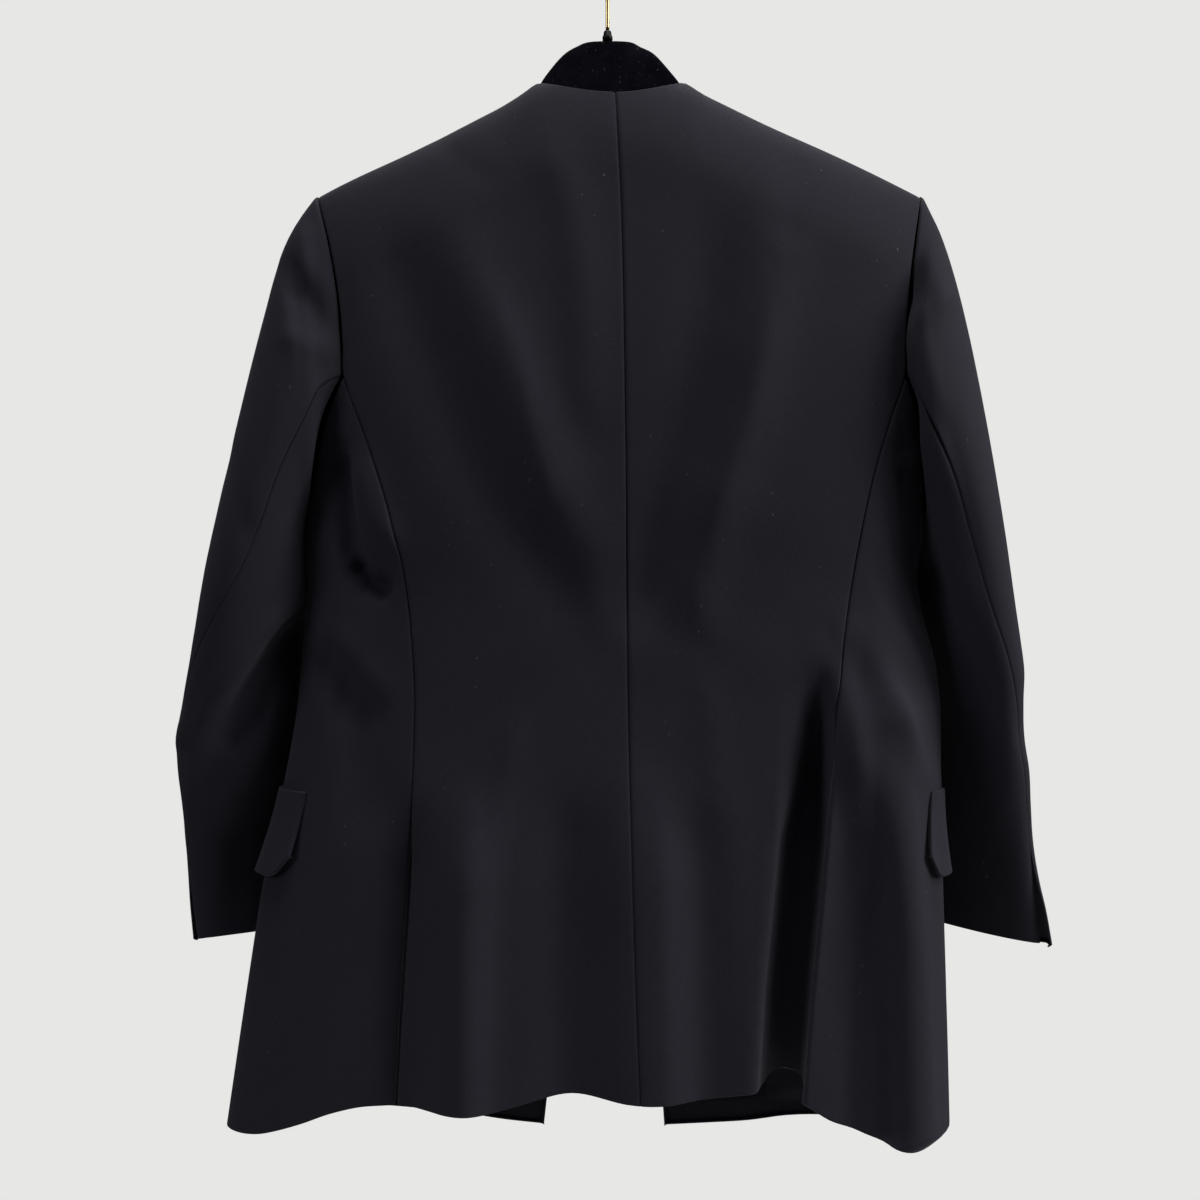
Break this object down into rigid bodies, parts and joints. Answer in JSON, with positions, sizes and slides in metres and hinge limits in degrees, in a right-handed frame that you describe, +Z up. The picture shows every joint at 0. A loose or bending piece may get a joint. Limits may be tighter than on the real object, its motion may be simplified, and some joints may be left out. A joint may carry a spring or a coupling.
{
  "type": "collarless suit jacket on a hanger",
  "caption": "Collarless tailored suit jacket in dark wool with flap pockets and vented cuffs, hanging on a slim flocked hanger with a wire hook.",
  "frame": {"origin": "inside of the top of the hook, where a rail or door hook carries it", "axes": "+Z up, +Y to the back of the jacket, +X to the wearer's left"},
  "size_m": [0.6461, 0.1731, 0.8947],
  "materials": {
    "suiting": "fine plain wool suiting, almost matt",
    "flock": "short flocking on a moulded hanger",
    "wire": "polished gold-coloured plating",
    "fitting": "black moulded ferrule"
  },
  "bodies": {
    "root": {"back_left": "suiting", "back_right": "suiting", "side_left": "suiting", "side_right": "suiting", "front_left": "suiting", "front_right": "suiting", "top_sleeve_left": "suiting", "top_sleeve_right": "suiting", "under_sleeve_left": "suiting", "under_sleeve_right": "suiting", "flap_left": "suiting", "flap_right": "suiting", "hanger_body": "flock", "ferrule": "fitting", "hook": "wire"}
  },
  "joints": []
}
